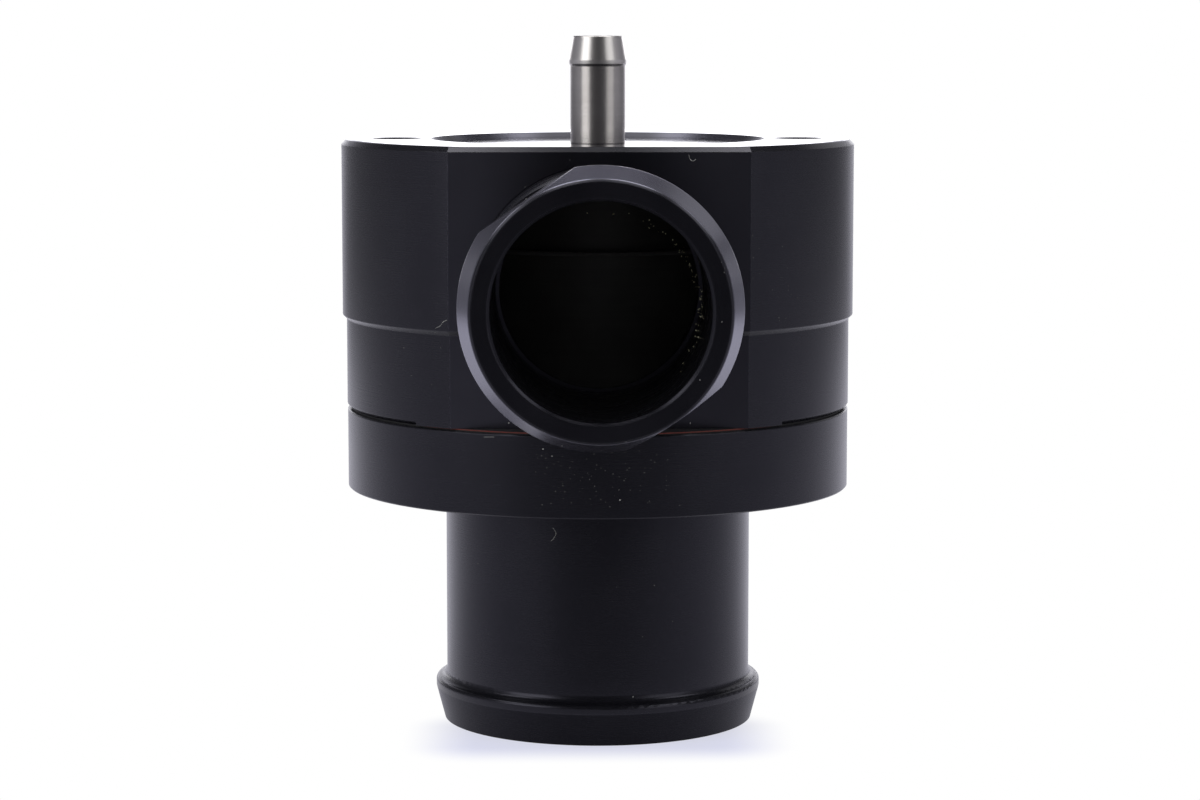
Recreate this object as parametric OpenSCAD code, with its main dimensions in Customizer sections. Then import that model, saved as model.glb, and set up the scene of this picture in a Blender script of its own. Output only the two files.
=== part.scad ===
// Piston blow off valve with an inlet hose spigot below and an outlet hose spigot at the front.
// Millimetres, +Z up. The valve axis is Z, the foot of the inlet spigot lies on z = 0,
// and the outlet points along -Y. The piston is drawn closed, resting on its seat.

/* [Inlet flange] */
// Outer diameter of the inlet flange
flange_d = 62.4; // [61.4:0.1:62.5]
// Thickness of the inlet flange
flange_h = 9.75; // [9:0.05:11]
// Length of the inlet hose spigot, from its foot to the flange
spigot_l = 29.5; // [26:0.1:36]
// Outer diameter of the inlet hose spigot
spigot_d = 38; // [37:0.1:39]
// Bore of the inlet hose spigot
inlet_bore_d = 33; // [32.6:0.1:33.6]
// Diameter of the throat under the valve seat
throat_d = 32; // [31.6:0.1:32.2]
// Crest diameter of the hose bead on the inlet spigot
inlet_bead_d = 40.7; // [40.2:0.1:42]
// Diameter at the foot of the inlet spigot
inlet_end_d = 38.6; // [37.6:0.1:39.4]
// Height of the bead's crest above the foot
inlet_bead_z = 4.35; // [3.6:0.05:6]
// Height of the seat above the flange's upper face
seat_h = 1; // [0.8:0.05:1.4]

/* [Gasket] */
// Thickness of the flange gasket
gasket_t = 0.25; // [0.2:0.05:0.5]
// Radial distance of the gasket's edge inside the flange's edge
gasket_inset = 0.5; // [0.4:0.05:1]

/* [Body] */
// Diameter of the body's upper section
body_d = 63.5; // [62.8:0.1:66]
// Height of the body from the gasket to its top
body_h = 33.1; // [32.9:0.1:36]
// Radial step between the upper and the lower section
body_step = 0.5; // [0.3:0.05:0.8]
// Height of the lower section
lower_h = 11; // [8:0.1:14]
// Distance of the front flat from the valve axis
flat_y = 26.35; // [26.1:0.05:27]
// Chamfer round the body's upper edge
body_chamfer = 0.6; // [0.3:0.05:0.8]
// Height of the relief under the body's lower edge, at the sides and the back
relief_h = 0.45; // [0.2:0.05:0.8]
// Bore in which the piston works
body_bore_d = 40; // [39.6:0.1:40.4]
// Thickness of the roof over the bore
roof_t = 4; // [3.8:0.1:4.2]
// Diameter of the recess in the top face
recess_d = 41.4; // [38:0.1:42]
// Depth of the recess in the top face
recess_depth = 0.6; // [0.4:0.1:1.2]

/* [Outlet spigot] */
// Height of the outlet axis above the body's lower face
outlet_rise = 16; // [15.8:0.05:16.1]
// Distance of the outlet's end from the valve axis
outlet_end_y = 51.5; // [49:0.1:60]
// Length of the taper from the bead's crest to the end
outlet_taper_l = 4.4; // [3.6:0.1:6]
// Crest diameter of the outlet's hose bead
outlet_bead_d = 32; // [31.7:0.1:33]
// Outer diameter of the outlet's end
outlet_end_d = 29.15; // [27.5:0.05:29.8]
// Outer diameter of the neck behind the bead
outlet_neck_d = 29.8; // [29.5:0.1:30.4]
// Bore of the outlet spigot
outlet_bore_d = 24.5; // [23.5:0.1:24.8]
// Diameter of the stem that screws into the body
stem_d = 27; // [26.6:0.1:27.2]
// Width across the wrench flats on the bead
wrench_w = 29.3; // [28.6:0.1:31]
// Angle of the wrench flats from the horizontal
wrench_angle = 34; // [0:1:90]

/* [Vacuum nipple] */
// Length of the nipple above the recess
nipple_l = 13.25; // [11:0.05:20]
// Diameter of the nipple's shaft
nipple_d = 6.8; // [6.4:0.05:6.9]
// Diameter of the nipple's hose bulge
nipple_bulge_d = 7.1; // [7:0.05:7.6]
// Diameter of the nipple's tip
nipple_tip_d = 5.9; // [5:0.05:6.4]
// Bore of the nipple
nipple_bore_d = 3.6; // [2.5:0.1:4]

/* [Piston] */
// Travel of the piston
travel = 8; // [6:0.1:8.1]
// Outer diameter of the piston
piston_d = 35.2; // [34.8:0.1:35.6]
// Inner diameter of the piston's skirt
piston_bore_d = 31; // [30.6:0.1:31.2]
// Thickness of the piston's floor
floor_t = 2.5; // [2.2:0.1:2.8]
// Thickness of the face seal
face_seal_t = 1.5; // [1.2:0.1:1.8]

/* [Spring] */
// Mean diameter of the return spring
spring_d = 18.4; // [17.6:0.1:19]
// Diameter of the spring's wire
wire_d = 1.6; // [1:0.1:1.7]
// Number of turns of the return spring
spring_turns = 6; // [5:1:7]
// Thickness of the shim above the spring
shim_t = 1; // [0.5:0.1:1.5]

/* [Clamp screws] */
// Radius of the circle on which the clamp screws stand
screw_r = 24.9; // [24.7:0.05:25.2]
// Thread diameter of the clamp screws
screw_d = 3; // [2.6:0.1:3]
// Head diameter of the clamp screws
screw_head_d = 5.5; // [5:0.1:5.6]
// Diameter of the counterbores for the screw heads
counterbore_d = 6.2; // [6:0.1:6.4]
// Depth of the counterbores for the screw heads
counterbore_depth = 4; // [3.6:0.1:5]
// Length of the clamp screws under the head
screw_l = 35; // [33:0.5:36]

/* [Fits] */
// Radial clearance of threads and pressed fits, drawn plain
thread_gap = 0.03; // [0.02:0.01:0.06]
// Radial clearance of the seal and the guide band in the piston
slide_gap = 0.02; // [0.02:0.01:0.05]
// Free distance left at the end of the piston's travel
stop_gap = 0.4; // [0.3:0.05:0.5]

/* [Hidden] */
$fn = 96;
eps = 0.01;

// Heights of the stacked pieces
flange_z = spigot_l;
flange_top = flange_z + flange_h;
body_z = flange_top + gasket_t;
body_top = body_z + body_h;
step_z = body_z + lower_h;
lower_d = body_d - 2 * body_step;
flat_low_y = flat_y - body_step;
recess_z = body_top - recess_depth;
roof_z = recess_z - roof_t;
seat_z = flange_top + seat_h;
outlet_z = body_z + outlet_rise;
screw_seat_z = body_top - counterbore_depth;

// Piston and the pieces fixed to it
seal_z = seat_z + face_seal_t;
floor_top = seal_z + floor_t;
skirt_top = roof_z - stop_gap - travel;
seal_locator_d = 22;
face_seal_d = piston_d - 0.6;
retainer_d = throat_d - 2.4;
retainer_t = 2;
retainer_screw_d = 4;
retainer_head_d = 8;
retainer_head_h = 2.2;
retainer_screw_l = 8;
boss_d = 10;
boss_h = 3;

// Guide sleeve that hangs from the roof inside the piston
sleeve_d = piston_bore_d - 0.6;
sleeve_bore_d = sleeve_d - 7;
sleeve_z = floor_top + travel + stop_gap;
socket_depth = 1.5;
sleeve_top = roof_z + socket_depth;
sleeve_plate_t = 2;
groove_depth = 1.2;
seal_groove_w = 2;
seal_groove_z = sleeve_z + 0.9;
band_groove_w = 2;
band_groove_z = seal_groove_z + seal_groove_w + 0.5;
spring_top = sleeve_top - sleeve_plate_t - shim_t;

// Outlet spigot, with its neck seated in a spot face level with the lower flat
stem_y = body_bore_d / 2 + 0.8;
neck_y = flat_low_y;
spot_face_d = outlet_neck_d + 4 * thread_gap;
ring_pocket_depth = 1.2;
ring_pocket_d = stem_d + 2.3;
port_d = outlet_bore_d - 0.8;

// Rounding of the hose beads
crest_r = 0.5;
crest_land = 0.6;
bead_fillet_r = 0.9;

// Nipple
shank_d = 6;
nipple_top = recess_z + nipple_l;
nipple_bulge_z = nipple_top - 3.3;

hex_socket_w = 2.5;
hex_socket_depth = 1.4;
screw_head_h = 3;
screw_angles = [0, 90, 180];
wire_sides = 10;
steps_per_turn = 28;

// Repeats its children on the clamp screw circle
module at_screws() {
    for (a = screw_angles)
        rotate([0, 0, a])
            translate([screw_r, 0, 0])
                children();
}

// Lays its children's upright axis along the outlet, with z = 0 at the outlet's end
module on_outlet_axis() {
    translate([0, -outlet_end_y, outlet_z])
        rotate([-90, 0, 0])
            children();
}

// Drills a hole along the outlet's axis between two distances from the valve axis
module outlet_hole(d, y0, y1) {
    on_outlet_axis()
        translate([0, 0, outlet_end_y - y1])
            cylinder(d = d, h = y1 - y0);
}

// A flat ring between two heights
module ring(outer_d, inner_d, z0, z1) {
    translate([0, 0, z0])
        difference() {
            cylinder(d = outer_d, h = z1 - z0);
            translate([0, 0, -eps])
                cylinder(d = inner_d, h = z1 - z0 + 2 * eps);
        }
}

// A squeezed seal ring that fills its groove between two radii and two heights
module squeezed_ring(inner_r, outer_r, z0, z1) {
    mid_r = (inner_r + outer_r) / 2;
    mid_z = (z0 + z1) / 2;
    round_r = norm([outer_r - inner_r, z1 - z0]) / 2 * 0.86;
    rotate_extrude()
        intersection() {
            translate([inner_r, z0])
                square([outer_r - inner_r, z1 - z0]);
            translate([mid_r, mid_z])
                circle(r = round_r);
        }
}

// Turned blank of the body, with its chamfer and the step between its sections
module body_blank() {
    c = body_chamfer;
    rotate_extrude()
        polygon([
            [0, body_z],
            [lower_d / 2, body_z],
            [lower_d / 2, step_z],
            [body_d / 2, step_z + body_step],
            [body_d / 2, body_top - c],
            [body_d / 2 - c, body_top],
            [0, body_top]
        ]);
}

// Space kept behind the front flat, with the same chamfer and step as the blank
module flat_keep() {
    c = body_chamfer;
    rotate([90, 0, 90])
        linear_extrude(height = 2 * body_d, center = true)
            polygon([
                [-flat_low_y, body_z],
                [-flat_low_y, step_z],
                [-flat_y, step_z + body_step],
                [-flat_y, body_top - c],
                [-flat_y + c, body_top],
                [body_d, body_top],
                [body_d, body_z]
            ]);
}

// Sloped relief under the body's lower edge, which stops short of the front flat
module edge_relief() {
    front = 44;
    r = lower_d / 2;
    rotate([0, 0, front - 90])
        rotate_extrude(angle = 360 - 2 * front)
            polygon([
                [r - relief_h - eps, body_z - eps],
                [r + relief_h, body_z - eps],
                [r + relief_h, body_z + 2 * relief_h]
            ]);
}

// Piston bore, roof socket, side port and top recess cut out of the body
module body_cavities() {
    translate([0, 0, body_z - eps])
        cylinder(d = body_bore_d, h = roof_z - body_z + eps);
    translate([0, 0, roof_z - eps])
        cylinder(d = sleeve_d + 2 * thread_gap, h = socket_depth + eps);
    translate([0, 0, recess_z])
        cylinder(d1 = recess_d - 2 * recess_depth, d2 = recess_d + 2 * eps, h = recess_depth + eps);
    translate([0, 0, roof_z])
        cylinder(d = shank_d + 2 * thread_gap, h = roof_t + eps);
    outlet_hole(port_d, body_bore_d / 2 - 6, flat_y);
    outlet_hole(stem_d + 2 * thread_gap, stem_y - 0.3, body_d);
    outlet_hole(ring_pocket_d, neck_y - ring_pocket_depth, body_d);
    outlet_hole(spot_face_d, neck_y, body_d);
    at_screws() {
        translate([0, 0, body_z - eps])
            cylinder(d = screw_d + 0.4, h = body_h);
        translate([0, 0, screw_seat_z])
            cylinder(d = counterbore_d, h = counterbore_depth + eps);
    }
}

module valve_body() {
    color([0.09, 0.09, 0.1])
        difference() {
            intersection() {
                body_blank();
                flat_keep();
            }
            body_cavities();
            edge_relief();
        }
}

// Outline of a hose spigot on one side of its axis: end face at z = 0, taper, bead, pipe
module hose_end(bore_d, end_d, bead_d, bead_z, pipe_d, length) {
    bore_r = bore_d / 2;
    pipe_r = pipe_d / 2;
    end = [end_d / 2, 0];
    low = [bead_d / 2 - crest_r, bead_z - crest_land / 2];
    high = low + [0, crest_land];
    rise = low - end;
    lean = atan2(rise[1], rise[0]) - asin(crest_r / norm(rise));
    touch = low + crest_r * [sin(lean), -cos(lean)];
    reach = pipe_r + bead_fillet_r - high[0];
    hollow = high + [reach, sqrt(pow(crest_r + bead_fillet_r, 2) - pow(reach, 2))];
    difference() {
        union() {
            polygon([[bore_r, 0], end, touch, low, high, hollow, [pipe_r, hollow[1]],
                [pipe_r, length], [bore_r, length]]);
            translate(low)
                circle(r = crest_r);
            translate(high)
                circle(r = crest_r);
            translate([bore_r, low[1]])
                square([bead_d / 2 - bore_r, crest_land]);
        }
        translate(hollow)
            circle(r = bead_fillet_r);
    }
}

// Outline of the flange with the throat and the raised seat, on one side of the axis
module flange_outline() {
    c = 0.15;
    bore_r = inlet_bore_d / 2;
    throat_r = throat_d / 2;
    throat_z = flange_z + 4;
    register_r = body_bore_d / 2 - 0.05;
    polygon([
        [bore_r, flange_z],
        [flange_d / 2 - c, flange_z],
        [flange_d / 2, flange_z + c],
        [flange_d / 2, flange_top - c],
        [flange_d / 2 - c, flange_top],
        [register_r, flange_top],
        [register_r, seat_z - c],
        [register_r - c, seat_z],
        [throat_r + 0.2, seat_z],
        [throat_r, seat_z - 0.2],
        [throat_r, throat_z],
        [bore_r, throat_z - (bore_r - throat_r)]
    ]);
}

// Fillet between the flange's underside and the spigot
module flange_fillet() {
    r = 0.6;
    pipe_r = spigot_d / 2;
    difference() {
        translate([pipe_r - r, flange_z - r])
            square([2 * r, 2 * r]);
        translate([pipe_r + r, flange_z - r])
            circle(r = r);
    }
}

module inlet_flange() {
    color([0.09, 0.09, 0.1])
        difference() {
            rotate_extrude() {
                hose_end(inlet_bore_d, inlet_end_d, inlet_bead_d, inlet_bead_z,
                    spigot_d, flange_z + 1);
                flange_fillet();
                flange_outline();
            }
            at_screws()
                translate([0, 0, screw_seat_z - screw_l - 0.5])
                    cylinder(d = screw_d + 2 * thread_gap, h = body_h);
        }
}

module flange_gasket() {
    color([0.6, 0.05, 0.06])
        difference() {
            ring(flange_d - 2 * gasket_inset, body_bore_d, flange_top, body_z);
            at_screws()
                translate([0, 0, flange_top - eps])
                    cylinder(d = screw_d + 0.4, h = gasket_t + 2 * eps);
        }
}

// Corner cut off a wall's end face at z = 0, at its inner (side 1) or outer (side -1) radius
module edge_break(r, size, side) {
    translate([r, 0])
        polygon([[-side * size, -size], [2 * side * size, -size], [-side * size, 2 * size]]);
}

// Outline of the outlet spigot on one side of its axis, with z = 0 at its end
module outlet_outline() {
    bore_r = outlet_bore_d / 2;
    end_r = outlet_end_d / 2;
    neck_z = outlet_end_y - neck_y;
    stem_z = outlet_end_y - stem_y;
    difference() {
        union() {
            hose_end(outlet_bore_d, outlet_end_d, outlet_bead_d, outlet_taper_l, outlet_neck_d, neck_z);
            translate([bore_r, neck_z - 1])
                square([stem_d / 2 - bore_r, stem_z - neck_z + 1]);
        }
        edge_break(bore_r, 0.35, 1);
        edge_break(end_r, 0.22, -1);
    }
}

// The two slabs that a wrench's flats take off the bead
module wrench_cuts() {
    for (side = [0, 180])
        rotate([0, 0, side - wrench_angle])
            translate([-outlet_bead_d, wrench_w / 2, -eps])
                cube([2 * outlet_bead_d, outlet_bead_d, outlet_taper_l + 2.6]);
}

module outlet_spigot() {
    color([0.1, 0.1, 0.11])
        on_outlet_axis()
            difference() {
                rotate_extrude()
                    outlet_outline();
                wrench_cuts();
            }
}

module outlet_seal_ring() {
    color([0.03, 0.03, 0.03])
        on_outlet_axis()
            squeezed_ring(stem_d / 2, ring_pocket_d / 2, outlet_end_y - neck_y,
                outlet_end_y - neck_y + ring_pocket_depth);
}

module vacuum_nipple() {
    shaft_r = nipple_d / 2;
    bulge_r = nipple_bulge_d / 2;
    tip_r = nipple_tip_d / 2;
    bore_r = nipple_bore_d / 2;
    shank_z = sleeve_top - sleeve_plate_t;
    color([0.62, 0.62, 0.64])
        rotate_extrude()
            polygon([
                [bore_r, shank_z],
                [shank_d / 2, shank_z],
                [shank_d / 2, recess_z],
                [shaft_r, recess_z],
                [shaft_r, nipple_bulge_z - 0.4],
                [bulge_r - 0.03, nipple_bulge_z - 0.15],
                [bulge_r, nipple_bulge_z + 0.35],
                [tip_r + 0.1, nipple_top - 0.1],
                [tip_r, nipple_top],
                [bore_r, nipple_top]
            ]);
}

// Grooves for the seal and the guide band on the sleeve
module sleeve_grooves() {
    floor_d = sleeve_d - 2 * groove_depth;
    ring(sleeve_d + 1, floor_d, seal_groove_z, seal_groove_z + seal_groove_w);
    ring(sleeve_d + 1, floor_d, band_groove_z, band_groove_z + band_groove_w);
}

module guide_sleeve() {
    color([0.2, 0.2, 0.21])
        difference() {
            translate([0, 0, sleeve_z])
                cylinder(d = sleeve_d, h = sleeve_top - sleeve_z);
            translate([0, 0, sleeve_z - eps])
                cylinder(d = sleeve_bore_d, h = sleeve_top - sleeve_plate_t - sleeve_z + eps);
            translate([0, 0, sleeve_z])
                cylinder(d = shank_d + 2 * thread_gap, h = sleeve_top);
            sleeve_grooves();
        }
}

module guide_seal_ring() {
    color([0.03, 0.03, 0.03])
        squeezed_ring(sleeve_d / 2 - groove_depth, piston_bore_d / 2 - slide_gap,
            seal_groove_z, seal_groove_z + seal_groove_w);
}

module guide_band() {
    color([0.85, 0.84, 0.8])
        ring(piston_bore_d - 2 * slide_gap, sleeve_d - 2 * groove_depth,
            band_groove_z, band_groove_z + band_groove_w);
}

module piston() {
    c = 0.4;
    skirt_r = piston_d / 2;
    inner_r = piston_bore_d / 2;
    screw_hole_top = seat_z - retainer_t + retainer_screw_l + 0.3;
    color([0.2, 0.2, 0.21])
        difference() {
            rotate_extrude()
                polygon([
                    [0, seat_z],
                    [seal_locator_d / 2, seat_z],
                    [seal_locator_d / 2, seal_z],
                    [skirt_r - c, seal_z],
                    [skirt_r, seal_z + c],
                    [skirt_r, skirt_top - c],
                    [skirt_r - c, skirt_top],
                    [inner_r + c, skirt_top],
                    [inner_r, skirt_top - c],
                    [inner_r, floor_top],
                    [boss_d / 2, floor_top],
                    [boss_d / 2, floor_top + boss_h],
                    [0, floor_top + boss_h]
                ]);
            translate([0, 0, seat_z - eps])
                cylinder(d = retainer_screw_d + 2 * thread_gap, h = screw_hole_top - seat_z);
        }
}

module face_seal() {
    color([0.05, 0.05, 0.05])
        ring(face_seal_d, seal_locator_d, seat_z, seal_z);
}

module seal_retainer() {
    c = 0.3;
    r = retainer_d / 2;
    hole_r = retainer_screw_d / 2 + 0.2;
    z0 = seat_z - retainer_t;
    color([0.75, 0.75, 0.77])
        rotate_extrude()
            polygon([
                [hole_r, z0],
                [r - c, z0],
                [r, z0 + c],
                [r, seat_z],
                [hole_r, seat_z]
            ]);
}

// A socket head screw standing on its thread, with its head's seat at z = 0
module socket_screw(thread_d, head_d, head_h, length, socket_w, socket_depth) {
    c = 0.25;
    difference() {
        rotate_extrude()
            polygon([
                [0, -length],
                [thread_d / 2 - c, -length],
                [thread_d / 2, -length + c],
                [thread_d / 2, 0],
                [head_d / 2, 0],
                [head_d / 2, head_h - c],
                [head_d / 2 - c, head_h],
                [0, head_h]
            ]);
        translate([0, 0, head_h - socket_depth])
            cylinder(d = socket_w / cos(30), h = socket_depth + eps, $fn = 6);
    }
}

module retainer_screw() {
    color([0.55, 0.55, 0.57])
        translate([0, 0, seat_z - retainer_t])
            rotate([180, 0, 0])
                socket_screw(retainer_screw_d, retainer_head_d, retainer_head_h,
                    retainer_screw_l, hex_socket_w, hex_socket_depth);
}

// Round wire section at one place along the spring
function wire_ring(angle, z) = [
    for (k = [0 : wire_sides - 1])
        let (b = 360 * k / wire_sides, r = spring_d / 2 + wire_d / 2 * cos(b))
        [r * cos(angle), r * sin(angle), z + wire_d / 2 * sin(b)]
];

// Height of the wire's centre, with the first and the last turn closed
function wire_z(turn) =
    let (low = floor_top + wire_d / 2,
        high = spring_top - wire_d / 2,
        closed = wire_d * 1.02,
        pitch = (high - low - 2 * closed) / (spring_turns - 2))
    turn < 1 ? low + closed * turn
        : turn > spring_turns - 1 ? high - closed * (spring_turns - turn)
        : low + closed + pitch * (turn - 1);

module return_spring() {
    count = spring_turns * steps_per_turn;
    points = [
        for (i = [0 : count])
            each wire_ring(360 * i / steps_per_turn, wire_z(i / steps_per_turn))
    ];
    n = wire_sides;
    sides = [
        for (i = [0 : count - 1], k = [0 : n - 1])
            let (a = i * n + k, b = i * n + (k + 1) % n)
            each [[a, a + n, b], [b, a + n, b + n]]
    ];
    start_cap = [for (k = [0 : n - 1]) k];
    end_cap = [for (k = [n - 1 : -1 : 0]) count * n + k];
    color([0.5, 0.5, 0.52])
        polyhedron(points = points, faces = concat(sides, [start_cap, end_cap]), convexity = 10);
}

module spring_shim() {
    color([0.6, 0.6, 0.62])
        ring(sleeve_bore_d - 0.8, shank_d + 6, spring_top, spring_top + shim_t);
}

module clamp_screws() {
    color([0.2, 0.2, 0.21])
        at_screws()
            translate([0, 0, screw_seat_z])
                socket_screw(screw_d, screw_head_d, screw_head_h, screw_l,
                    hex_socket_w, hex_socket_depth);
}

valve_body();
inlet_flange();
flange_gasket();
outlet_spigot();
outlet_seal_ring();
vacuum_nipple();
guide_sleeve();
guide_seal_ring();
guide_band();
piston();
face_seal();
seal_retainer();
retainer_screw();
return_spring();
spring_shim();
clamp_screws();
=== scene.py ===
import math
import random

import bmesh
import bpy
from mathutils import Matrix, Vector


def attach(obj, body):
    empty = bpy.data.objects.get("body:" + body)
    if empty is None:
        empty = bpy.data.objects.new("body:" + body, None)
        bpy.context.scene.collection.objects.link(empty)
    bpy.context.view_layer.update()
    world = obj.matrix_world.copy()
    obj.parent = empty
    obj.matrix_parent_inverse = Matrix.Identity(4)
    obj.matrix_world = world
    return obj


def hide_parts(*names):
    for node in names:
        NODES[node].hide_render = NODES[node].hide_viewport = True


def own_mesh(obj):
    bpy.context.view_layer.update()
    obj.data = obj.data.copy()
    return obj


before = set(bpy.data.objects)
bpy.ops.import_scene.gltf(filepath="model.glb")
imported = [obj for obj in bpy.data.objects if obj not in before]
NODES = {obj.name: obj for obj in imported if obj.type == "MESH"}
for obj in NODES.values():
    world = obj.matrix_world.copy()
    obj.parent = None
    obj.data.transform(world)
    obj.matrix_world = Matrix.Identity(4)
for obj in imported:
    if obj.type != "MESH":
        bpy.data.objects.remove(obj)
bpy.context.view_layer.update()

MM = 0.001

# Directions in the part's frame; the outlet points to the front
UP = (0, 0, 1)
FRONT = (0, -1, 0)
UP_AND_FRONT = (0, -0.7071, 0.7071)

# Heights of the solids that the looks refer to, in metres: the outlet's axis, the step round the body,
# the gasket's upper face and the foot of the cone at the nipple's tip
OUTLET_Z = 0.0555
STEP_Z = 0.0505
GASKET_TOP = 0.0395
TIP_Z = 0.0819

# Where the looks of a solid change, in metres: where the change begins and where it is complete.
# The step round the body, where a painted highlight is laid, from below and from above
STEP_LOWER = (STEP_Z - 0.0001, STEP_Z)
STEP_UPPER = (STEP_Z + 0.0006, STEP_Z + 0.0005)
# The chamfer above the flat: towards the front, and the painted highlight that grows from its middle to
# its ends
CHAMFER_FRONT = (-0.0245, -0.0252)
CHAMFER_SHEEN_SPREAD = (0.002, 0.017)
# The painted shade on the flat above the outlet, from its sides and from below, and the painted shade to
# the right
FLAT_MIDDLE = (0.015, 0.003)
FLAT_ABOVE = (0.060, 0.064)
FLAT_RIGHT = (-0.012, 0.018)
# The wall of the recess on top: towards the back, and out to its sides
RECESS_BACK = (0.008, 0.011)
RECESS_SIDES = (0.006, 0.013)
# The rolled rim of the body's top, by radius
RIM = (0.0299, 0.0306)
# The taper between the outlet's end and its bead, by radius and towards the end
TAPER_RADIUS = (0.01455, 0.01470)
TAPER_FRONT = (-0.0448, -0.0462)
# The painted shade on the gasket's edge, towards the sides and downwards
GASKET_SIDES = (-0.0236, -0.0222)
GASKET_LOWER = (GASKET_TOP - 0.00011, GASKET_TOP - 0.00015)
# The cone at the nipple's tip, which gets a painted highlight
TIP = (TIP_Z - 0.0003, TIP_Z + 0.0003)

# How far a face looks along a direction, 1 being straight along it, when it begins to count as facing that
# way and when it fully does
FACING = (0.93, 0.985)
# The same for the slanted wall of the recess, which stops counting when it lies too flat
WALL_TILT = (0.5, 0.6)
WALL_TOO_FLAT = (0.9, 0.8)
# The same for the faces of the pieces inside that look up and get painted light, and for the gasket's
# faces
UPWARD_LIGHT_TILT = (0.5, 0.65)
GASKET_TILT = (0.4, 0.8)
# How far the rolled rim's normal leans outwards, for 1 upwards
RIM_LEAN = 0.4

WHITE = (1, 1, 1, 1)
NO_LIGHT = (0, 0, 0, 1)

# Colours of each finish, in its darkest and in its lightest patches
BLACK = (0.0030, 0.0030, 0.0042), (0.0052, 0.0051, 0.0070)
# Painted highlight: the chamfer above the flat, made paler for the light from above that it catches
CHAMFER_SHEEN = (0.012, 0.012, 0.013), (0.018, 0.018, 0.019)
DULL_TAPER = (0.0045, 0.0043, 0.0055), (0.0080, 0.0077, 0.0095)
HARD_BLACK = (0.013, 0.013, 0.0132), (0.026, 0.026, 0.0262)
STEEL = (0.50, 0.475, 0.455), (0.62, 0.595, 0.57)
ALUMINIUM = (0.66, 0.66, 0.67), (0.78, 0.78, 0.79)
WIRE = (0.36, 0.36, 0.37), (0.56, 0.56, 0.57)
OXIDE = (0.016, 0.016, 0.018), (0.05, 0.05, 0.052)
RUBBER = (0.012, 0.012, 0.012), (0.036, 0.035, 0.034)
GASKET_RED = (0.07, 0.007, 0.004), (0.17, 0.016, 0.009)
# Painted shade for the gasket's edge, deep in the groove at the sides
GASKET_SHADE = (0.004, 0.004, 0.005), (0.009, 0.009, 0.010)
GASKET_COAT = (0.024, 0.024, 0.027), (0.036, 0.036, 0.040)
FILLED_PTFE = (0.62, 0.60, 0.55), (0.76, 0.75, 0.70)
PALE_LINT = (0.22, 0.22, 0.22), (0.46, 0.46, 0.46)
FAINT_DUST = (0.035, 0.035, 0.035), (0.085, 0.085, 0.085)
# Dust in the bore, made pale enough to serve also as painted glints
OCHRE_DUST_AND_GLINTS = (0.55, 0.528, 0.396), (0.90, 0.864, 0.648)

# Colours that are laid over a finish as painted highlights and painted light, and the blue in the shine of
# black
STEP_SHEEN = (0.020, 0.020, 0.023, 1)
CHAMFER_END_SHEEN = (0.055, 0.054, 0.056, 1)
# Painted light on the faces of the pieces inside that look up
UPWARD_LIGHT = (0.06, 0.06, 0.061, 1)
STEEL_TIP_SHEEN = (0.76, 0.735, 0.71, 1)
BLACK_SHINE = (0.82, 0.81, 1.0, 1)

# Shine of turned metal, and of the wall of the recess and the outlet's taper, which shine more
METAL_IOR = 1.5
SIDE_WALL_IOR = 2.8
TAPER_IOR = 2.9
# How far the roughness goes up and down: by itself, and as a share on a machined face
GLOSS_SPREAD = 0.035
FACE_GLOSS_SPREAD = 0.2
# How much of its shine the flat keeps in the painted shade above the outlet and on the right
MIDDLE_SHINE = 0.29
RIGHT_SHINE = 0.66

# Machined faces with a finish of their own, as (direction, roughness, IOR, colours): the body's top, its
# milled front flat and the chamfer above the flat, whose paler colours are a painted highlight; and the
# outlet's end
BODY_FACES = ((UP, 0.08, METAL_IOR, BLACK), (FRONT, 0.32, 2.4, BLACK),
              (UP_AND_FRONT, 0.2, METAL_IOR, CHAMFER_SHEEN))
OUTLET_FACES = ((FRONT, 0.22, 1.38, BLACK),)

# The camera, as fitted to the photograph of 1200 by 800 pixels
PHOTO_W, PHOTO_H = 1200, 800
FOCAL_PX = 3361.0
SENSOR_MM = 36.0
CAMERA_PLACE = Vector((-0.003, -0.4183, 0.089))
CAMERA_TILT = math.pi / 2 - math.radians(6.70)
CAMERA_YAW = math.radians(0.45)

# Dust in the photograph, with the seed of its random shapes and places
DUST_SEED = 11
# Single flakes: pixel across, pixel down and size in mm
FLAKES = ((620, 500, 0.15), (404, 348, 0.105), (633, 697, 0.135), (543, 449, 0.15), (562, 446, 0.135),
          (552, 456, 0.12), (626, 442, 0.105), (722, 322, 0.105), (678, 379, 0.12), (700, 380, 0.09),
          (525, 187, 0.105), (526, 199, 0.12), (570, 160, 0.075))
# Single grains on the flat, by pixel
GRAINS = ((509, 423), (690, 423))
GRAIN_MM = 0.13
# Clusters of faint flakes: lowest and highest pixel across and down, and how many
CLUSTERS = (((535, 680), (450, 508), 90), ((720, 800), (230, 330), 26),
            ((460, 740), (520, 640), 14), ((380, 450), (340, 400), 6))
CLUSTER_MM = (0.07, 0.16)
# Grains in the outlet's bore, mostly on its right, pale dust that also serves as painted glints: middle
# and radius in pixels, middle and spread of the angle in degrees, and spread of the radius in pixels
BORE_GRAINS = 70
BORE_MIDDLE = (600.5, 311)
BORE_RADIUS = 100
BORE_ANGLE = (14, 27)
BORE_SPREAD = 2.0
# Fibres: pixels along each, and its radius in mm
FIBRES = (([(435, 333), (436, 328), (440, 326), (443, 322), (447, 320)], 0.022),
          ([(689, 155), (690, 159), (693, 161), (696, 159)], 0.020),
          ([(553, 528), (556, 533), (554, 538), (551, 541)], 0.020),
          ([(484, 437), (489, 437), (494, 437)], 0.016))
# Shape of the dust, as shares of its size: how uneven it is, how far a flake sinks in and rises, and how
# far the middle of a grain or a fibre stands off the surface; then the corners of a flake and a fibre
UNEVEN = (0.6, 1.0)
FLAKE_SINK = 0.1
FLAKE_PEAK = 0.2
STAND_OFF = 0.6
FLAKE_CORNERS = (5, 7)
FIBRE_SIDES = 5

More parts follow.
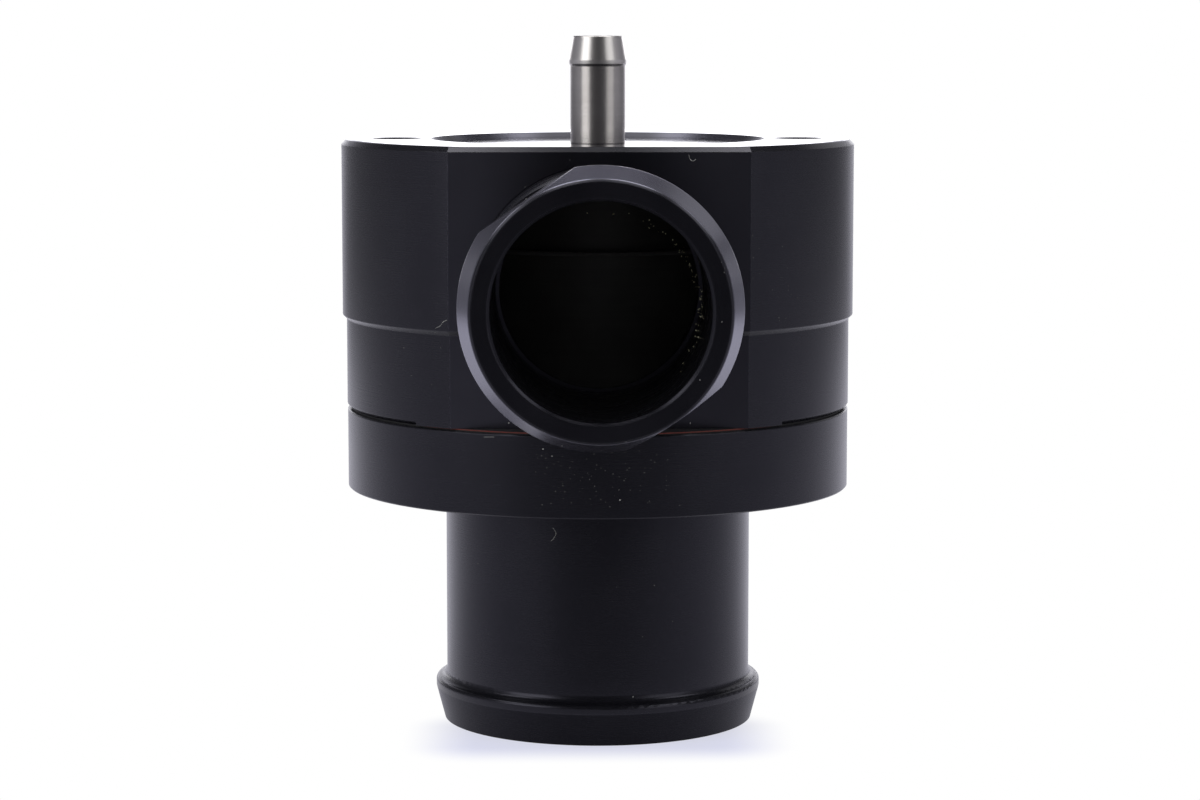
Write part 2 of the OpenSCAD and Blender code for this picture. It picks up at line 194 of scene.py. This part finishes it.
# How bright the room is from the camera's side (0) round to behind the object (1):
# on the table near the object, further away, and further away on the right
NEAR_ROOM = [(0.0, 0.15), (0.117, 0.26), (0.448, 0.48), (0.629, 0.58), (0.794, 0.78), (0.877, 0.95),
             (0.94, 1.0)]
FAR_ROOM = [(0.0, 0.035), (0.117, 0.12), (0.45, 0.34), (0.69, 0.24), (0.85, 0.21), (0.941, 0.30),
            (0.985, 1.0)]
FAR_RIGHT_ROOM = FAR_ROOM[:4] + [(0.85, 0.23), (0.925, 0.38), (0.978, 1.0)]
ROOM_TINT = (0.97, 0.96, 1.08)
# How much of that is left from the table's height (0) to straight above (1)
ROOM_HEIGHT = [(0.0, 1.0), (0.10, 1.0), (0.35, 0.5), (0.5, 0.27), (0.8, 0.2), (1.0, 0.2)]
# Brightness of the even light from all sides
SOFT_LIGHT = 0.8

# The floor, just under the foot
FLOOR_Z = -0.00002
FLOOR_COLOUR = (0.86, 0.85, 0.80, 1)
# The shadow on it: its colour, how bright it is at its darkest, and where its soft edge begins
SHADOW_COLOUR = (0.42, 0.47, 1.0, 1)
SHADOW_LEVEL = 0.58
SHADOW_EDGE = 0.0005
# The bright ring close round the foot that the metal mirrors
RING_COLOUR = (0.95, 0.94, 1.0, 1)
RING_INSIDE = (0.028, 0.031)
RING_OUTSIDE = (0.039, 0.034)
# Where the table's brightness changes from near to far, and from the middle to the right
NEAR_TO_FAR = (0.27, 0.6)
MIDDLE_TO_RIGHT = (0.0, 0.1)

# Sockets of a Mix node that mixes colours
MIX_A, MIX_B, MIX_RESULT = 6, 7, 2


class Graph:
    """Short calls for building one node tree. A value is a number, a tuple or another node's output."""

    def __init__(self, tree):
        self.tree = tree
        tree.nodes.clear()

    def node(self, kind, **settings):
        made = self.tree.nodes.new("ShaderNode" + kind)
        for name, value in settings.items():
            setattr(made, name, value)
        return made

    def put(self, socket, value):
        if isinstance(value, bpy.types.NodeSocket):
            self.tree.links.new(value, socket)
        elif value is not None:
            socket.default_value = value

    def math(self, operation, a, b=None):
        made = self.node("Math", operation=operation)
        self.put(made.inputs[0], a)
        self.put(made.inputs[1], b)
        return made.outputs[0]

    def plus(self, a, b):
        return self.math("ADD", a, b)

    def minus(self, a, b):
        return self.math("SUBTRACT", a, b)

    def times(self, product, *factors):
        for factor in factors:
            product = self.math("MULTIPLY", product, factor)
        return product

    def distance(self, a, b):
        """Distance for the sides a and b at a right angle."""
        return self.math("SQRT", self.plus(self.times(a, a), self.times(b, b)))

    def split(self, vector):
        made = self.node("SeparateXYZ")
        self.put(made.inputs[0], vector)
        return made.outputs

    def join(self, x, y, z):
        made = self.node("CombineXYZ")
        for socket, value in zip(made.inputs, (x, y, z)):
            self.put(socket, value)
        return made.outputs[0]

    def noise(self, vector, scale, detail=2.0, roughness=0.5):
        made = self.node("TexNoise")
        self.put(made.inputs["Vector"], vector)
        made.inputs["Scale"].default_value = scale
        made.inputs["Detail"].default_value = detail
        made.inputs["Roughness"].default_value = roughness
        return made.outputs["Fac"]

    def ramp(self, value, stops):
        """Grey or colour by value: stops are (place, level or colour)."""
        made = self.node("ValToRGB")
        elements = made.color_ramp.elements
        while len(elements) < len(stops):
            elements.new(0.5)
        for element, (place, level) in zip(elements, stops):
            element.position = place
            element.color = (*level, 1) if isinstance(level, tuple) else (level, level, level, 1)
        self.put(made.inputs[0], value)
        return made.outputs[0]

    def mottle(self, value, colours, low=0.3, high=0.7):
        """From the dark to the light of two colours, as value goes from low to high."""
        dark, light = colours
        return self.ramp(value, [(low, dark), (high, light)])

    def room(self, value, levels):
        """Brightness of the room by direction, in its slightly blue light."""
        stops = [(place, tuple(level * share for share in ROOM_TINT)) for place, level in levels]
        return self.ramp(value, stops)

    def between(self, value, low, high):
        """Turns value 0..1 into low..high."""
        made = self.node("MapRange")
        self.put(made.inputs["Value"], value)
        self.put(made.inputs["To Min"], low)
        self.put(made.inputs["To Max"], high)
        return made.outputs[0]

    def fade(self, value, start, end):
        """0 at start, 1 at end, smooth between."""
        made = self.node("MapRange", interpolation_type="SMOOTHSTEP")
        self.put(made.inputs["Value"], value)
        self.put(made.inputs["From Min"], start)
        self.put(made.inputs["From Max"], end)
        return made.outputs[0]

    def blend(self, share, a, b):
        """Colour or direction between a and b."""
        made = self.node("Mix", data_type="RGBA")
        self.put(made.inputs["Factor"], share)
        self.put(made.inputs[MIX_A], a)
        self.put(made.inputs[MIX_B], b)
        return made.outputs[MIX_RESULT]

    def bump(self, height, depth, normal=None):
        """Bump whose full height is depth metres."""
        made = self.node("Bump")
        made.inputs["Strength"].default_value = 1.0
        made.inputs["Distance"].default_value = depth
        self.put(made.inputs["Height"], height)
        self.put(made.inputs["Normal"], normal)
        return made.outputs[0]

    def rounded(self, radius):
        """Normal that rounds sharp edges by radius metres."""
        made = self.node("Bevel", samples=4)
        made.inputs["Radius"].default_value = radius
        return made.outputs[0]

    def place(self):
        return self.node("TexCoord").outputs["Object"]

    def facing(self, direction):
        """How far a face looks along a direction: 1 is straight along it."""
        made = self.node("VectorMath", operation="DOT_PRODUCT")
        self.put(made.inputs[0], self.node("NewGeometry").outputs["Normal"])
        made.inputs[1].default_value = direction
        return made.outputs["Value"]

    def looks_along(self, direction):
        """1 on the faces that look along a direction, and 0 on the others."""
        return self.fade(self.facing(direction), *FACING)

    def plain(self, kind, colour, strength=None):
        """A shader of one kind, with its colour and, where it has one, its strength."""
        made = self.node(kind)
        self.put(made.inputs["Color"], colour)
        if strength is not None:
            self.put(made.inputs["Strength"], strength)
        return made.outputs[0]

    def either(self, share, first, second):
        """The first shader at share 0, the second at 1."""
        made = self.node("MixShader")
        for socket, value in zip(made.inputs, (share, first, second)):
            self.put(socket, value)
        return made.outputs[0]


class Look(Graph):
    """A material with one Principled shader, whose inputs are given by name."""

    def __init__(self, name):
        self.material = bpy.data.materials.new(name)
        self.material.use_nodes = True
        super().__init__(self.material.node_tree)
        self.shader = self.node("BsdfPrincipled")
        self.put(self.node("OutputMaterial").inputs["Surface"], self.shader.outputs[0])

    def give(self, name, value):
        self.put(self.shader.inputs[name], value)

    def now(self, name):
        """What an input has at present."""
        socket = self.shader.inputs[name]
        if socket.links:
            return socket.links[0].from_socket
        value = socket.default_value
        return value if isinstance(value, float) else tuple(value)

    def lay(self, name, share, value):
        """Lays a colour or a direction over what an input has, by share."""
        self.give(name, self.blend(share, self.now(name), value))

    def shift(self, name, share, value):
        """Takes an input's number to another one, by share."""
        self.give(name, self.between(share, self.now(name), value))


def turned(graph, axis="Z", height=0.0):
    """A place for patterns that run round the turning axis, then the radius and the length along it."""
    x, y, z = graph.split(graph.place())
    along, across = (z, y) if axis == "Z" else (y, graph.minus(z, height))
    radius = graph.distance(x, across)
    return graph.join(radius, 0.0, along), radius, along


def turned_metal(name, colours, roughness, line_depth, axis="Z", height=0.0, metallic=0.0, edge=0.0001,
                 faces=()):
    """Metal off the lathe: fine rings about its axis, with cloudy changes of tone and gloss.

    Faces are (direction, roughness, IOR, colours) for machined faces that have a finish of their own.
    """
    look = Look(name)
    rings_at, _, _ = turned(look, axis, height)
    rings = look.noise(rings_at, scale=2600.0, detail=3.0, roughness=0.6)
    hairlines = look.noise(rings_at, scale=9000.0, detail=1.0)
    cloud = look.noise(look.place(), scale=160.0, detail=4.0, roughness=0.55)
    tone = look.plus(look.times(rings, 0.3), look.times(cloud, 0.7))
    gloss = look.plus(look.times(hairlines, 0.5), look.times(cloud, 0.5))
    look.give("Base Color", look.mottle(tone, colours))
    look.give("Roughness", look.between(gloss, roughness - GLOSS_SPREAD, roughness + GLOSS_SPREAD))
    look.give("IOR", METAL_IOR)
    look.give("Metallic", metallic)
    for direction, face_roughness, face_ior, face_colours in faces:
        share = look.looks_along(direction)
        spread = face_roughness * FACE_GLOSS_SPREAD
        face_gloss = look.between(gloss, face_roughness - spread, face_roughness + spread)
        look.shift("Roughness", share, face_gloss)
        look.shift("IOR", share, face_ior)
        look.lay("Base Color", share, look.mottle(tone, face_colours))
    lines = look.plus(rings, look.times(hairlines, 0.4))
    look.give("Normal", look.bump(lines, line_depth, look.rounded(edge)))
    return look


def black_anodised(name, axis="Z", height=0.0, edge=0.0001, faces=()):
    """Black anodised aluminium: almost black, satin, slightly blue where it shines."""
    look = turned_metal(name, BLACK, roughness=0.27, line_depth=2.4e-7, axis=axis, height=height,
                        edge=edge, faces=faces)
    look.give("Specular Tint", BLACK_SHINE)
    return look


def black_body(name):
    """The body's black, in this order: a painted highlight on the step, a painted highlight on the chamfer
    above the flat that grows towards its ends, painted shade on the flat above the outlet and on the
    right, a recess whose wall shines more at its sides, and a top whose rim is slightly rolled."""
    look = black_anodised(name, faces=BODY_FACES)
    x, y, z = look.split(look.place())
    off_middle = look.math("ABSOLUTE", x)

    # Painted highlight: the step is made paler in colour for the light that it catches from above
    step = look.times(look.fade(z, *STEP_LOWER), look.fade(z, *STEP_UPPER))
    look.lay("Base Color", step, STEP_SHEEN)

    # Painted highlight on the chamfer, paler towards its ends, where it catches more of the lamps' light
    chamfer = look.times(look.looks_along(UP_AND_FRONT), look.fade(y, *CHAMFER_FRONT))
    end_sheen = look.times(chamfer, look.fade(off_middle, *CHAMFER_SHEEN_SPREAD))
    look.lay("Base Color", end_sheen, CHAMFER_END_SHEEN)

    # Painted shade: the flat's colour and shine are taken down above the outlet, for the outlet's shade
    # and dark reflection, and towards the right, where less light falls
    above_outlet = look.times(look.fade(off_middle, *FLAT_MIDDLE), look.fade(z, *FLAT_ABOVE))
    shine_left = look.times(look.between(above_outlet, 1.0, MIDDLE_SHINE),
                            look.between(look.fade(x, *FLAT_RIGHT), 1.0, RIGHT_SHINE))
    dull = look.times(look.looks_along(FRONT), look.minus(1.0, shine_left))
    look.lay("Base Color", dull, NO_LIGHT)
    look.lay("Specular Tint", dull, NO_LIGHT)

    tilt = look.facing(UP)
    wall = look.times(look.fade(tilt, *WALL_TILT), look.fade(tilt, *WALL_TOO_FLAT),
                      look.fade(y, *RECESS_BACK))
    side_wall = look.times(wall, look.fade(off_middle, *RECESS_SIDES))
    look.shift("IOR", side_wall, SIDE_WALL_IOR)

    _, radius, _ = turned(look)
    rim = look.times(look.looks_along(UP), look.fade(radius, *RIM))
    lean = look.math("DIVIDE", RIM_LEAN, radius)
    look.lay("Normal", rim, look.join(look.times(x, lean), look.times(y, lean), 1.0))
    return look


def black_outlet(name):
    """The outlet's black, with a duller and paler taper between its end and its bead."""
    look = black_anodised(name, "Y", OUTLET_Z, edge=0.00025, faces=OUTLET_FACES)
    _, radius, along = turned(look, "Y", OUTLET_Z)
    taper = look.times(look.fade(radius, *TAPER_RADIUS), look.fade(along, *TAPER_FRONT))
    grain = look.noise(look.place(), scale=3000.0, detail=3.0, roughness=0.6)
    look.lay("Base Color", taper, look.mottle(grain, DULL_TAPER))
    look.shift("Roughness", taper, look.between(grain, 0.20, 0.28))
    look.shift("IOR", taper, TAPER_IOR)
    return look


def hard_anodised(name):
    """Hard anodised black of the pieces inside, painted paler on the faces and edges that look up, as
    painted light from above.
    """
    look = turned_metal(name, HARD_BLACK, roughness=0.45, line_depth=2e-6)
    look.lay("Base Color", look.fade(look.facing(UP), *UPWARD_LIGHT_TILT), UPWARD_LIGHT)
    return look


def bright_steel(name):
    """Turned stainless steel, slightly warm, with a duller cone at the nipple's tip that is painted
    brighter as a painted highlight.
    """
    look = turned_metal(name, STEEL, roughness=0.26, line_depth=4e-6, metallic=1.0, edge=0.0002)
    _, _, z = look.split(look.place())
    tip = look.fade(z, *TIP)
    # Painted highlight: the tip's colour is made brighter
    look.lay("Base Color", tip, STEEL_TIP_SHEEN)
    look.shift("Roughness", tip, 0.30)
    return look


def bare_aluminium(name):
    """Turned aluminium of the seal retainer."""
    return turned_metal(name, ALUMINIUM, roughness=0.34, line_depth=4e-6, metallic=1.0)


def spring_steel(name):
    """Drawn wire with a grey skin and a few dull patches."""
    look = Look(name)
    place = look.place()
    cloud = look.noise(place, scale=420.0, detail=4.0, roughness=0.6)
    grain = look.noise(place, scale=5200.0)
    look.give("Base Color", look.mottle(cloud, WIRE))
    look.give("Roughness", look.between(cloud, 0.24, 0.42))
    look.give("Metallic", 1.0)
    look.give("Normal", look.bump(grain, 6e-6))
    return look


def black_oxide(name):
    """Oiled black oxide on the clamp screws, with paler clouds and soft edges."""
    look = Look(name)
    place = look.place()
    cloud = look.noise(place, scale=900.0, detail=4.0, roughness=0.6)
    grain = look.noise(place, scale=7000.0)
    look.give("Base Color", look.mottle(cloud, OXIDE, low=0.35, high=0.72))
    look.give("Roughness", look.between(grain, 0.34, 0.5))
    look.give("Metallic", 0.6)
    look.give("Normal", look.bump(grain, 8e-6, look.rounded(0.00012)))
    return look


def black_rubber(name):
    """Nitrile rubber with a fine moulded grain and a grey bloom."""
    look = Look(name)
    place = look.place()
    bloom = look.noise(place, scale=330.0, detail=5.0, roughness=0.62)
    grain = look.noise(place, scale=5200.0, detail=3.0, roughness=0.6)
    look.give("Base Color", look.mottle(bloom, RUBBER, high=0.75))
    look.give("Roughness", look.between(grain, 0.52, 0.74))
    look.give("Normal", look.bump(grain, 1.2e-5))
    return look


def red_gasket(name):
    """Gasket board: red on its cut edge in front, darkened round the sides and downwards by painted shade,
    with a dark coat on its faces.
    """
    look = Look(name)
    place = look.place()
    fibres = look.noise(place, scale=3800.0, detail=4.0, roughness=0.65)
    face = look.fade(look.math("ABSOLUTE", look.facing(UP)), *GASKET_TILT)
    _, y, z = look.split(place)
    # Painted shade on the gasket's edge, towards the sides and downwards
    edge_shade = look.math("MAXIMUM", look.fade(y, *GASKET_SIDES), look.fade(z, *GASKET_LOWER))
    red, shaded, coat = (look.mottle(fibres, colours, low=0.25, high=0.75)
                       for colours in (GASKET_RED, GASKET_SHADE, GASKET_COAT))
    look.give("Base Color", look.blend(face, look.blend(edge_shade, red, shaded), coat))
    look.give("Roughness", look.between(face, look.between(fibres, 0.55, 0.8), 0.35))
    look.give("Normal", look.bump(fibres, 1e-5))
    return look


def white_plastic(name):
    """Filled PTFE of the guide band: waxy, slightly mottled."""
    look = Look(name)
    mottle = look.noise(look.place(), scale=700.0, detail=5.0, roughness=0.6)
    look.give("Base Color", look.mottle(mottle, FILLED_PTFE))
    look.give("Roughness", look.between(mottle, 0.4, 0.55))
    look.give("Normal", look.bump(mottle, 6e-6))
    return look


def lint(name, colours):
    """Dust and cotton fibres, mottled from dark to light."""
    look = Look(name)
    mottle = look.noise(look.place(), scale=2400.0, detail=3.0, roughness=0.6)
    look.give("Base Color", look.mottle(mottle, colours))
    look.give("Roughness", look.between(mottle, 0.8, 0.95))
    look.give("Normal", look.bump(mottle, 1e-5))
    return look


def dress_solids():
    """Gives each solid its material."""
    looks = {
        "valve_body": black_body("black_anodised_body"),
        "inlet_flange": black_anodised("black_anodised_inlet"),
        "outlet_spigot": black_outlet("black_anodised_outlet"),
        "flange_gasket": red_gasket("red_gasket"),
        "vacuum_nipple": bright_steel("bright_steel"),
        "return_spring": spring_steel("spring_steel"),
        "clamp_screws": black_oxide("black_oxide"),
        "seal_retainer": bare_aluminium("bare_aluminium"),
        "guide_band": white_plastic("white_plastic"),
    }
    looks["retainer_screw"] = looks["spring_shim"] = looks["vacuum_nipple"]
    looks["guide_sleeve"] = looks["piston"] = hard_anodised("hard_anodised")
    rubber = black_rubber("black_rubber")
    looks.update({name: rubber for name in ("outlet_seal_ring", "guide_seal_ring", "face_seal")})
    for name, solid in NODES.items():
        solid.data.materials.clear()
        solid.data.materials.append(looks[name].material)


def make_spring():
    """The return spring as a piece of its own that rides on the housing, in place of the spring solid,
    which is hidden.
    """
    node = NODES["return_spring"]
    coil = bpy.data.objects.new("return_coil", node.data.copy())
    bpy.context.scene.collection.objects.link(coil)
    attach(coil, "housing")
    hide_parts("return_spring")
    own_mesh(coil)


def make_camera():
    """The camera that took the photograph."""
    lens = bpy.data.cameras.new("camera")
    lens.sensor_fit = "HORIZONTAL"
    lens.sensor_width = SENSOR_MM
    lens.lens = FOCAL_PX / PHOTO_W * SENSOR_MM
    lens.clip_start = 0.01
    lens.clip_end = 100.0
    camera = bpy.data.objects.new("camera", lens)
    bpy.context.scene.collection.objects.link(camera)
    camera.location = CAMERA_PLACE
    camera.rotation_euler = (CAMERA_TILT, 0, -CAMERA_YAW)
    bpy.context.scene.camera = camera


def camera_axes():
    """The camera's right, up and forward directions."""
    turn = Matrix.Rotation(-CAMERA_YAW, 3, "Z") @ Matrix.Rotation(CAMERA_TILT, 3, "X")
    return turn @ Vector((1, 0, 0)), turn @ Vector((0, 1, 0)), turn @ Vector((0, 0, -1))


def surface_at(px, py):
    """Place and outward direction of the surface seen at a pixel of the photograph, or None."""
    right, up, ahead = camera_axes()
    ray = ahead * FOCAL_PX + right * (px - PHOTO_W / 2) + up * (PHOTO_H / 2 - py)
    depsgraph = bpy.context.evaluated_depsgraph_get()
    hit, place, normal, *_ = bpy.context.scene.ray_cast(depsgraph, CAMERA_PLACE, ray.normalized())
    if not hit:
        return None
    if normal.dot(ray) > 0:
        normal = -normal
    return place, normal


def add_piece(name, mesh_maker, material):
    """Makes one mesh piece that rides on the housing."""
    mesh = bpy.data.meshes.new(name)
    shape = bmesh.new()
    mesh_maker(shape)
    bmesh.ops.recalc_face_normals(shape, faces=shape.faces)
    shape.to_mesh(mesh)
    shape.free()
    mesh.materials.append(material)
    piece = bpy.data.objects.new(name, mesh)
    bpy.context.scene.collection.objects.link(piece)
    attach(piece, "housing")


def add_flake(shape, chance, place, normal, size):
    """A small irregular flake of dust, lying on the surface."""
    side = normal.orthogonal().normalized()
    other = normal.cross(side)
    corners = chance.randint(*FLAKE_CORNERS)
    turn = chance.uniform(0, 2 * math.pi)
    stretch = chance.uniform(*UNEVEN)
    rim = []
    for i in range(corners):
        angle = turn + 2 * math.pi * i / corners
        reach = size * chance.uniform(*UNEVEN)
        rim.append(shape.verts.new(place - normal * size * FLAKE_SINK
                                   + side * reach * math.cos(angle)
                                   + other * reach * stretch * math.sin(angle)))
    peak = shape.verts.new(place + normal * size * FLAKE_PEAK)
    for i in range(corners):
        shape.faces.new((rim[i], rim[(i + 1) % corners], peak))
    shape.faces.new(rim[::-1])


def add_grain(shape, chance, place, normal, size):
    """A small irregular grain of dust that stands on the surface: two tips and a rim of four corners."""
    side = normal.orthogonal().normalized()
    other = normal.cross(side)
    middle = place + normal * size * STAND_OFF
    corners = [shape.verts.new(middle + out * size * chance.uniform(*UNEVEN))
               for out in (normal, -normal, side, other, -side, -other)]
    tips, rim = corners[:2], corners[2:]
    for tip in tips:
        for i in range(len(rim)):
            shape.faces.new((tip, rim[i], rim[(i + 1) % len(rim)]))


def add_fibre(shape, points, normal, radius):
    """A thin fibre along points on a surface, closed at both ends."""
    turns = [2 * math.pi * k / FIBRE_SIDES for k in range(FIBRE_SIDES)]
    rings = []
    for i, point in enumerate(points):
        ahead = points[min(i + 1, len(points) - 1)] - points[max(i - 1, 0)]
        across = normal.cross(ahead).normalized()
        rings.append([shape.verts.new(point + across * radius * math.cos(turn)
                                      + normal * radius * (STAND_OFF + math.sin(turn)))
                      for turn in turns])
    for low, high in zip(rings, rings[1:]):
        for k in range(FIBRE_SIDES):
            after = (k + 1) % FIBRE_SIDES
            shape.faces.new((low[k], low[after], high[after], high[k]))
    shape.faces.new(rings[0])
    shape.faces.new(rings[-1][::-1])


def smooth_path(points, steps=6):
    """Catmull-Rom curve through points."""
    path = []
    for i in range(len(points) - 1):
        a, b, c, d = (points[min(max(i + k, 0), len(points) - 1)] for k in (-1, 0, 1, 2))
        for s in range(steps):
            t = s / steps
            path.append(0.5 * (2 * b + (c - a) * t + (2 * a - 5 * b + 4 * c - d) * t * t
                               + (3 * b - a - 3 * c + d) * t * t * t))
    path.append(points[-1])
    return path


def make_dust():
    """The specks and fibres that lie on the black surfaces in the photograph."""
    pale = lint("lint", PALE_LINT).material
    faint = lint("faint_dust", FAINT_DUST).material
    ochre = lint("ochre_dust_and_glints", OCHRE_DUST_AND_GLINTS).material
    chance = random.Random(DUST_SEED)

    def specks(shape):
        for px, py, size in FLAKES:
            add_flake(shape, chance, *surface_at(px, py), size * MM)
        for px, py in GRAINS:
            add_grain(shape, chance, *surface_at(px, py), GRAIN_MM * MM)

    def clusters(shape):
        for across, down, count in CLUSTERS:
            for _ in range(count):
                spot = surface_at(chance.uniform(*across), chance.uniform(*down))
                if spot:
                    add_flake(shape, chance, *spot, chance.uniform(*CLUSTER_MM) * MM)

    def bore_specks(shape):
        for _ in range(BORE_GRAINS):
            angle = math.radians(chance.gauss(*BORE_ANGLE))
            reach = BORE_RADIUS + chance.gauss(0, BORE_SPREAD)
            spot = surface_at(BORE_MIDDLE[0] + reach * math.cos(angle),
                              BORE_MIDDLE[1] - reach * math.sin(angle))
            if spot:
                add_grain(shape, chance, *spot, chance.uniform(*CLUSTER_MM) * MM)

    def fibres(shape):
        for pixels, radius in FIBRES:
            spots = [surface_at(px, py) for px, py in pixels]
            path = smooth_path([place for place, _ in spots])
            _, first_normal = spots[0]
            add_fibre(shape, path, first_normal, radius * MM)

    add_piece("dust_specks", specks, pale)
    add_piece("faint_dust", clusters, faint)
    add_piece("bore_dust_and_glints", bore_specks, ochre)
    add_piece("dust_fibres", fibres, pale)


def round_from_camera(graph, x, y):
    """Direction on the table, 0 towards the camera's side and 1 behind the object, and the distance."""
    radius = graph.distance(x, y)
    never_zero = graph.plus(radius, 0.0001)
    back = graph.math("DIVIDE", y, never_zero)
    return graph.plus(graph.times(back, 0.5), 0.5), radius


def out_of_shadow(graph, x, y, middle, half_width, half_depth, edge):
    """0 in a shadow that is wider than it is deep, and 1 beyond its soft edge."""
    off_middle = graph.math("ABSOLUTE", x)
    across = graph.math("MAXIMUM", graph.minus(off_middle, half_width), 0.0)
    from_middle = graph.math("ABSOLUTE", graph.minus(y, middle))
    along = graph.math("MAXIMUM", graph.minus(from_middle, half_depth), 0.0)
    return graph.fade(graph.distance(across, along), SHADOW_EDGE, edge)


def make_world():
    """A white room behind the object that gets darker round towards the camera and higher up.

    Only metal mirrors the room: the camera sees white, and all else gets an even light.
    """
    world = bpy.data.worlds.new("studio")
    bpy.context.scene.world = world
    world.use_nodes = True
    graph = Graph(world.node_tree)
    x, y, up = graph.split(graph.node("TexCoord").outputs["Generated"])
    half, _ = round_from_camera(graph, x, y)
    mirrored = graph.plain("Background", graph.room(half, FAR_ROOM), graph.ramp(up, ROOM_HEIGHT))
    soft = graph.plain("Background", WHITE, SOFT_LIGHT)
    white = graph.plain("Background", WHITE)
    path = graph.node("LightPath").outputs
    lit = graph.either(path["Is Glossy Ray"], soft, mirrored)
    straight = graph.math("MAXIMUM", path["Is Camera Ray"], path["Is Transmission Ray"])
    graph.put(graph.node("OutputWorld").inputs[0], graph.either(straight, lit, white))


def make_floor():
    """A white floor that keeps the faint, slightly blue shadow round the foot.

    The camera sees white and the shadow, metal mirrors the table, and all else gets the floor's light.
    """
    bpy.ops.mesh.primitive_circle_add(vertices=96, radius=3.0, fill_type="NGON", location=(0, 0, FLOOR_Z))
    floor = bpy.context.object
    floor.name = "floor"
    material = bpy.data.materials.new("floor")
    material.use_nodes = True
    graph = Graph(material.node_tree)
    x, y, _ = graph.split(graph.node("NewGeometry").outputs["Position"])
    half, radius = round_from_camera(graph, x, y)

    in_front = out_of_shadow(graph, x, y, middle=-0.014, half_width=0.014, half_depth=0.005, edge=0.0105)
    behind = out_of_shadow(graph, x, y, middle=0.012, half_width=0.010, half_depth=0.004, edge=0.0085)
    glow = graph.between(graph.math("MINIMUM", in_front, behind), SHADOW_LEVEL, 1.0)
    seen = graph.either(glow, graph.plain("BsdfDiffuse", SHADOW_COLOUR), graph.plain("Emission", WHITE))

    far = graph.blend(graph.fade(x, *MIDDLE_TO_RIGHT), graph.room(half, FAR_ROOM),
                      graph.room(half, FAR_RIGHT_ROOM))
    table = graph.blend(graph.fade(radius, *NEAR_TO_FAR), graph.room(half, NEAR_ROOM), far)
    ring = graph.times(graph.fade(radius, *RING_INSIDE), graph.fade(radius, *RING_OUTSIDE))
    mirrored = graph.plain("Emission", graph.blend(ring, table, RING_COLOUR))

    path = graph.node("LightPath").outputs
    unseen = graph.either(path["Is Glossy Ray"], graph.plain("BsdfDiffuse", FLOOR_COLOUR), mirrored)
    whole = graph.either(path["Is Camera Ray"], unseen, seen)
    graph.put(graph.node("OutputMaterial").inputs["Surface"], whole)
    floor.data.materials.append(material)


def softbox(name, place, target, size, level):
    """A rectangular lamp that looks at target and whose face has the brightness level."""
    lamp = bpy.data.lights.new(name, "AREA")
    lamp.shape = "RECTANGLE"
    lamp.size, lamp.size_y = size
    lamp.energy = level * math.pi * size[0] * size[1]
    holder = bpy.data.objects.new(name, lamp)
    bpy.context.scene.collection.objects.link(holder)
    holder.location = place
    holder.rotation_euler = (Vector(target) - Vector(place)).to_track_quat("-Z", "Y").to_euler()
    holder.visible_camera = False


def around(azimuth, elevation, distance, centre=(0, 0, 0.05)):
    """A place round the object: azimuth 0 is at the camera and turns to the right of the picture."""
    a, e = math.radians(azimuth), math.radians(elevation)
    outward = Vector((math.sin(a) * math.cos(e), -math.cos(a) * math.cos(e), math.sin(e)))
    return Vector(centre) + distance * outward


def make_lamps():
    """Soft boxes to the left, to the right and behind, and on each side one above and one high up."""
    body = (0, 0, 0.06)
    softbox("left_softbox", around(-53, 18, 0.7), body, size=(0.42, 0.46), level=1.75)
    softbox("right_softbox", around(53, 18, 0.7), body, size=(0.40, 0.46), level=0.85)
    softbox("back_softbox", (0, 1.2, 0.16), (0, 0, 0.08), size=(1.6, 0.16), level=1.3)
    softbox("right_back_softbox", around(145, 26, 0.9), body, size=(0.4, 0.3), level=0.35)
    outlet = (0, -0.05, 0.055)
    for side, level in ((-1, 1.9), (1, 1.7)):
        x, y = side * 0.075, 0.025
        softbox("top_softbox", (x, y, 0.33), (x, y, 0), size=(0.11, 0.19), level=1.5 * level)
        high = around(side * 90, 43, 0.34, outlet)
        softbox("high_softbox", high, outlet, size=(0.14, 0.12), level=level)


bpy.context.scene.view_settings.view_transform = "Standard"
dress_solids()
make_spring()
make_camera()
make_dust()
make_world()
make_floor()
make_lamps()
